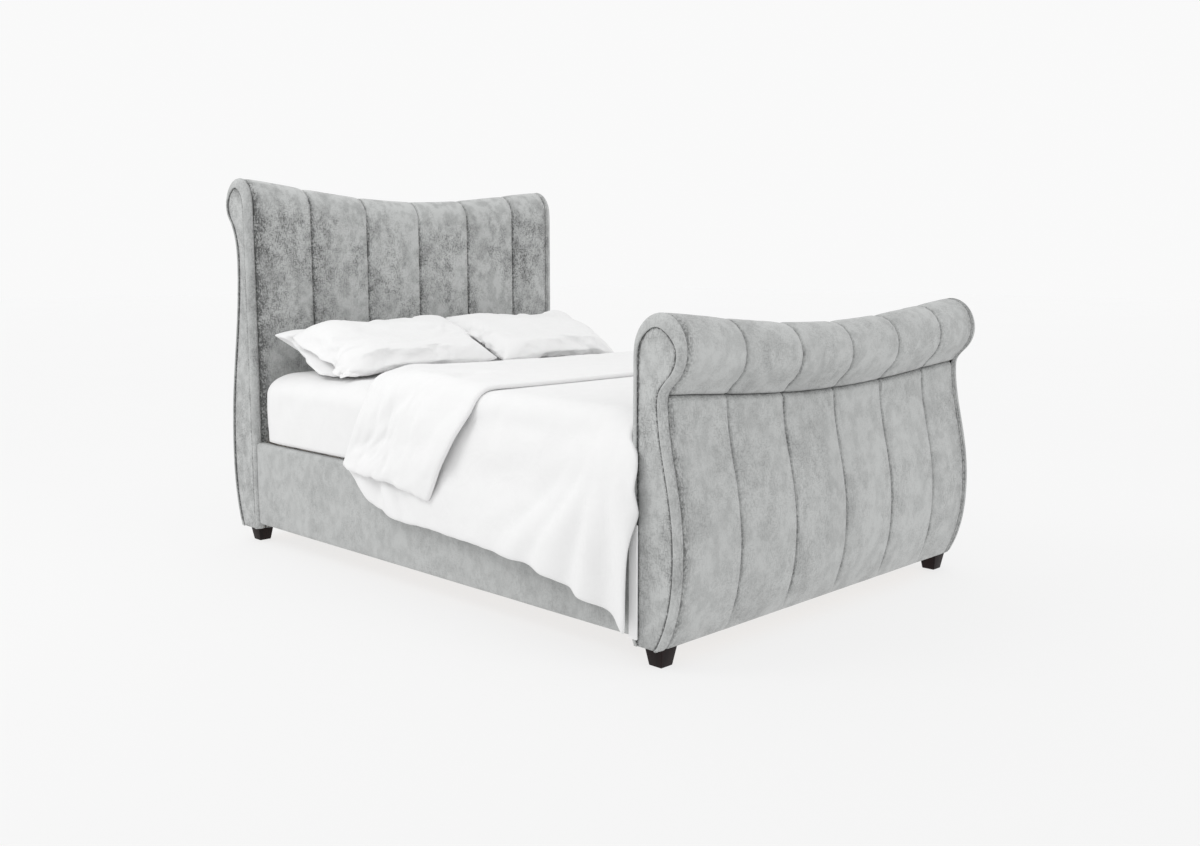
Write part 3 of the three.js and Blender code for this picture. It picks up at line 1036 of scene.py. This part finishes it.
# %% The duvet's measures
duvet_low, duvet_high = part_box("duvet")
top = mattress_high.z
fold = duvet_high.y - 0.022
foot_end = duvet_low.y
layer_low, layer_high = 0.013, 0.036
fold_radius = (layer_high - layer_low) / 2
flap = 0.73
run_low = fold - foot_end
run_turn = fold_radius * math.pi
run_all = run_low + run_turn + flap
shoulder = Vector((0.130, 0.150))
hang = duvet_high.x - 0.034
hem_stops = [(0, 0.600), (0.06, 0.535), (0.155, 0.495), (0.262, 0.452), (0.433, 0.430),
             (0.586, 0.424), (0.74, 0.440), (0.824, 0.440), (0.886, 0.412), (0.939, 0.365),
             (0.965, 0.330), (1.0, 0.300)]
flap_stops = [(0, 0.290), (0.10, 0.312), (0.50, 0.336), (1.0, 0.356)]


# %% The duvet's section
def section(distance, offset):
    """The duvet's section across the bed: flat, over the mattress edge, and down."""
    flat = hang - shoulder.x
    bend = (shoulder.x + shoulder.y) / 2 * math.pi / 2
    if distance <= flat:
        return Vector((distance, top + offset)), Vector((0, 1))
    if distance <= flat + bend:
        angle = (distance - flat) / bend * math.pi / 2
        outward = Vector((math.sin(angle), math.cos(angle)))
        spot = Vector((flat + shoulder.x * outward.x, top - shoulder.y + shoulder.y * outward.y))
        return spot + outward * offset, outward
    down = distance - flat - bend
    return Vector((hang + offset, top - shoulder.y - down)), Vector((1, 0))


def half_width(drop):
    """The way over the cloth from the middle of the bed to a hem that hangs this far down."""
    return hang - shoulder.x + (shoulder.x + shoulder.y) / 2 * math.pi / 2 + drop - shoulder.y


# %% The duvet's form
def duvet_form(across, along):
    side = -1 if across < 0.5 else 1
    reach = abs(across - 0.5) * 2
    run = run_all * along
    if run <= run_low:
        share = run / run_low
        y, offset, drop = foot_end + run, layer_low, between(hem_stops, share)
    elif run <= run_low + run_turn:
        angle = (run - run_low) / fold_radius
        y = fold + fold_radius * math.sin(angle)
        offset = layer_low + fold_radius * (1 - math.cos(angle))
        drop = hem_stops[-1][1] + (flap_stops[0][1] - hem_stops[-1][1]) * angle / math.pi
    else:
        share = (run - run_low - run_turn) / flap
        edge = flap * (1 - 0.22 * max(0.0, (reach - 0.72) / 0.28))
        y, offset, drop = fold - share * edge, layer_high, between(flap_stops, share)
    drop += (0.003 * noise.noise(Vector((run * 24, side, 0))) + 0.002 * math.sin(run * 95)) * reach
    distance = half_width(drop) * reach
    spot, outward = section(distance, offset)
    if spot.x > 0.80 and run < 0.10:
        past_board = between([(0.10, 0.030), (0.38, 0.050), (0.40, 0.050), (0.44, 0.060)], spot.y)
        y -= past_board * (1 - run / 0.10)
    y -= 0.115 * clamped((y - fold + 0.5) / 0.5) * eased((spot.y - 0.38) / 0.26)
    place = Vector((side * spot.x, y, spot.y))
    normal = Vector((side * outward.x, 0, outward.y))
    return place + normal * duvet_swell(place, reach, side, run)


def duvet_swell(place, reach, side, run):
    """Long soft pulls at the foot corners, ripples at the hem, and gentle hills on top."""
    below = top + 0.03 - place.z
    ahead = place.y - foot_end - 0.05
    angle = math.atan2(ahead, max(below, 0.01))
    distance = math.hypot(ahead, below)
    hanging = clamped(below / 0.25)
    stray = 1.5 * noise.noise(Vector((angle * 3, side, distance)))
    pull = math.sin(angle * 22 + side * 0.8 + stray)
    fan = 0.027 * pull * hanging * math.exp(-max(0.0, angle) / 0.60) * min(1.0, distance / 0.2)
    ripple = 0.007 * noise.noise(Vector((place.y * 6, side * 7, run * 0.5))) * hanging
    hills = 0.012 * noise.noise(Vector((place.x * 1.8, place.y * 3.2, 2.0 + (run > run_low))))
    folds = noise.noise(Vector((place.x * 2.2 + place.y * 3.0, place.y * 9 - place.x * 5, 7)))
    crease = 0.006 * max(0.0, folds) * (run > run_low)
    return fan + ripple + (hills + crease) * (1 - hanging) + 0.004


# %% Settle and fill the duvet
duvet = lay("duvet_quilt", duvet_form, even_steps(110), even_steps(104))
duvet_frames = 14
make_cloth(duvet, duvet_frames, gravity=0.5, swell=0.02, bending=1.5, gap=0.004)
duvet_blockers = [
    blocker("block_mattress", mattress_low, mattress_high, 0.011),
    blocker("block_rails", (-0.800, -1.05, 0.07), (0.800, 1.0, 0.405), 0.010),
    blocker("block_footboard", (-0.800, -1.25, 0.07), (0.800, foot_end - 0.006, 0.98), 0.004),
]
settle([duvet], duvet_blockers, duvet_frames,
       lambda first: 0.035 * min(1.0, 0.12 + max(0.0, first.y - foot_end) / 0.30))
set_all(duvet.modifiers.new("wall", "SOLIDIFY"), thickness=0.021, offset=0)
apply(duvet)
set_all(duvet.modifiers.new("fluff", "SMOOTH"), factor=0.5, iterations=3)
apply(duvet)
smooth(duvet)
soften(duvet)
dress(duvet, "duvet", "white_cotton", bedding_cloth, "duvet")
print("duvet", len(duvet.data.polygons), "faces")

# %% [markdown]
# ## Pillows
# A pillow starts as a flat bag: two layers of cloth sewn together round the edge. Pressure
# fills it, and the corners and puckers come by themselves. The filled bags are then turned to
# lean on the headboard, one on another, and settle under their own weight.

# %% Flat bags
case_length, case_depth = 0.835, 0.515
pillow_names = [f"pillow_{layer}_{hand}" for layer in ("lower", "upper")
                for hand in ("left", "right")]


def bag(name, width, depth, lift):
    mesh = bmesh.new()
    bmesh.ops.create_grid(mesh, x_segments=60, y_segments=40, size=0.5)
    for point in mesh.verts:
        x, y = point.co.x * 2, point.co.y * 2
        rounding = 1 - 0.035 * (x * x * y * y)
        point.co = Vector((x * width / 2 * rounding, y * depth / 2 * rounding, 0))
        ripple = noise.noise(Vector((x * 3, y * 3, lift)))
        point.co.z += 0.004 * ripple
    piece = finished(name, mesh)
    thicken(piece, 0.012, 0.0)
    return piece


def open_end(pillow, outer):
    """The last few centimetres of the case lie flat, because no filling reaches its open end."""
    filled = pillow.vertex_groups.new(name="filled")
    for point in pillow.data.vertices:
        inside = (case_length / 2 - point.co.x * outer) / 0.040
        filled.add([point.index], clamped(inside - 1.0), "REPLACE")


# %% Fill the bags
pillows = []
for node in pillow_names:
    low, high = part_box(node)
    pillow = bag(f"{node}_case", case_length, case_depth, len(pillows) * 3.7)
    open_end(pillow, -1 if low.x + high.x < 0 else 1)
    make_cloth(pillow, 22, pressure=3.2, gravity=0.0, bending=0.3)
    pillows.append(pillow)
settle(pillows, [], 22, lambda first: 0.075)


# %% Lean the pillows back
def lean(pillow, node, tilt, rise, plump, droop):
    """Turns a filled pillow to its place, tilted toward the headboard."""
    low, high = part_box(node)
    centre = (low + high) / 2 + Vector((0, 0, rise))
    tallest = max(point.co.z for point in pillow.data.vertices)
    widest = max(point.co.x for point in pillow.data.vertices)
    outer = -1 if centre.x < 0 else 1
    for point in pillow.data.vertices:
        toward_end = max(0.0, point.co.x * outer / widest - 0.45) / 0.55
        point.co.z -= droop * toward_end ** 2 * (tallest / plump)
    turned = Matrix.Rotation(tilt, 4, "X") @ Matrix.Diagonal((0.985, 0.985, plump / tallest, 1))
    pillow.data.transform(Matrix.Translation(centre) @ turned)


for layer, tilt, rise in (("lower", 0.40, 0.044), ("upper", 0.31, 0.026)):
    pair = [(pillow, node) for pillow, node in zip(pillows, pillow_names) if layer in node]
    for pillow, node in pair:
        lean(pillow, node, tilt, rise, 0.050, 0.070 if layer == "upper" else 0.0)
        make_cloth(pillow, 20, pressure=2.4, gravity=0.6, bending=0.4, gap=0.003)
    under = [
        blocker("block_mattress", mattress_low, mattress_high, 0.003),
        blocker("block_headboard", (-0.8, head.face, 0.1), (0.8, head.face + 0.12, 1.4), 0.004),
        blocker("block_duvet", (-0.8, foot_end, top - 0.05),
                (0.8, duvet_high.y + 0.02, top + 0.085), 0.003),
        blocker("block_middle", (-0.002, 0.2, top), (0.002, 1.0, top + 0.4), 0.001),
    ]
    if layer == "upper":
        for pillow in pillows[:2]:
            lower_mesh = bmesh.new()
            lower_mesh.from_mesh(pillow.data)
            copy = finished("block_pillow", lower_mesh)
            copy.modifiers.new("blocker", "COLLISION")
            copy.collision.thickness_outer = 0.004
            under.append(copy)
    settle([pillow for pillow, node in pair], under, 20, lambda first: 0.07)

# %% Dress the pillows
for node, pillow in zip(pillow_names, pillows):
    smooth(pillow)
    soften(pillow)
    dress(pillow, node, "white_cotton", bedding_cloth, node)
    spots = [point.co.z for point in pillow.data.vertices]
    print(node, "from", round(min(spots), 3), "to", round(max(spots), 3))

# %% [markdown]
# ## Floor and light
# Furniture is best shown lit from all round, so that shadows stay faint. A nearly white world
# does most of it, one large soft lamp on the left models the folds, and a weaker one beyond the
# foot of the bed opens up the footboard. The floor is a single pale face that glows a little.

# %% Floor and sky
mesh = bmesh.new()
bmesh.ops.create_grid(mesh, x_segments=1, y_segments=1, size=30)
floor = finished("floor", mesh)
paint = Finish("floor_paint_and_glow", 0.9)
paint.set("Base Color", paint.blend(paint.noise(0.5), grey(96), grey(100)))
# The floor's glow is painted light: it keeps the floor evenly bright and the bed's shadow faint,
# and lights the bed a little from below.
paint.set("Emission Color", grey(249))
paint.set("Emission Strength", 0.80)
floor.data.materials.append(paint.material)
world = bpy.data.worlds.new("sky")
world.use_nodes = True
sky = world.node_tree.nodes["Background"]
sky.inputs["Color"].default_value = (1.0, 1.0, 1.0, 1)
sky.inputs["Strength"].default_value = 0.95
bpy.context.scene.world = world

# %% Lamps
def lamp(name, place, aim, size, power):
    data = bpy.data.lights.new(name, "AREA")
    set_all(data, shape="DISK", size=size, energy=power)
    light = bpy.data.objects.new(name, data)
    light.location = place
    light.rotation_euler = (Vector(aim) - Vector(place)).to_track_quat("-Z", "Y").to_euler()
    bpy.context.scene.collection.objects.link(light)


lamp("key", (-3.8, 1.4, 4.2), (0, 0, 0.5), 2.4, 62)
lamp("front", (1.0, -6.0, 3.2), (0, 0, 0.6), 3.0, 30)
print("lamps", [light.name for light in bpy.data.lights])
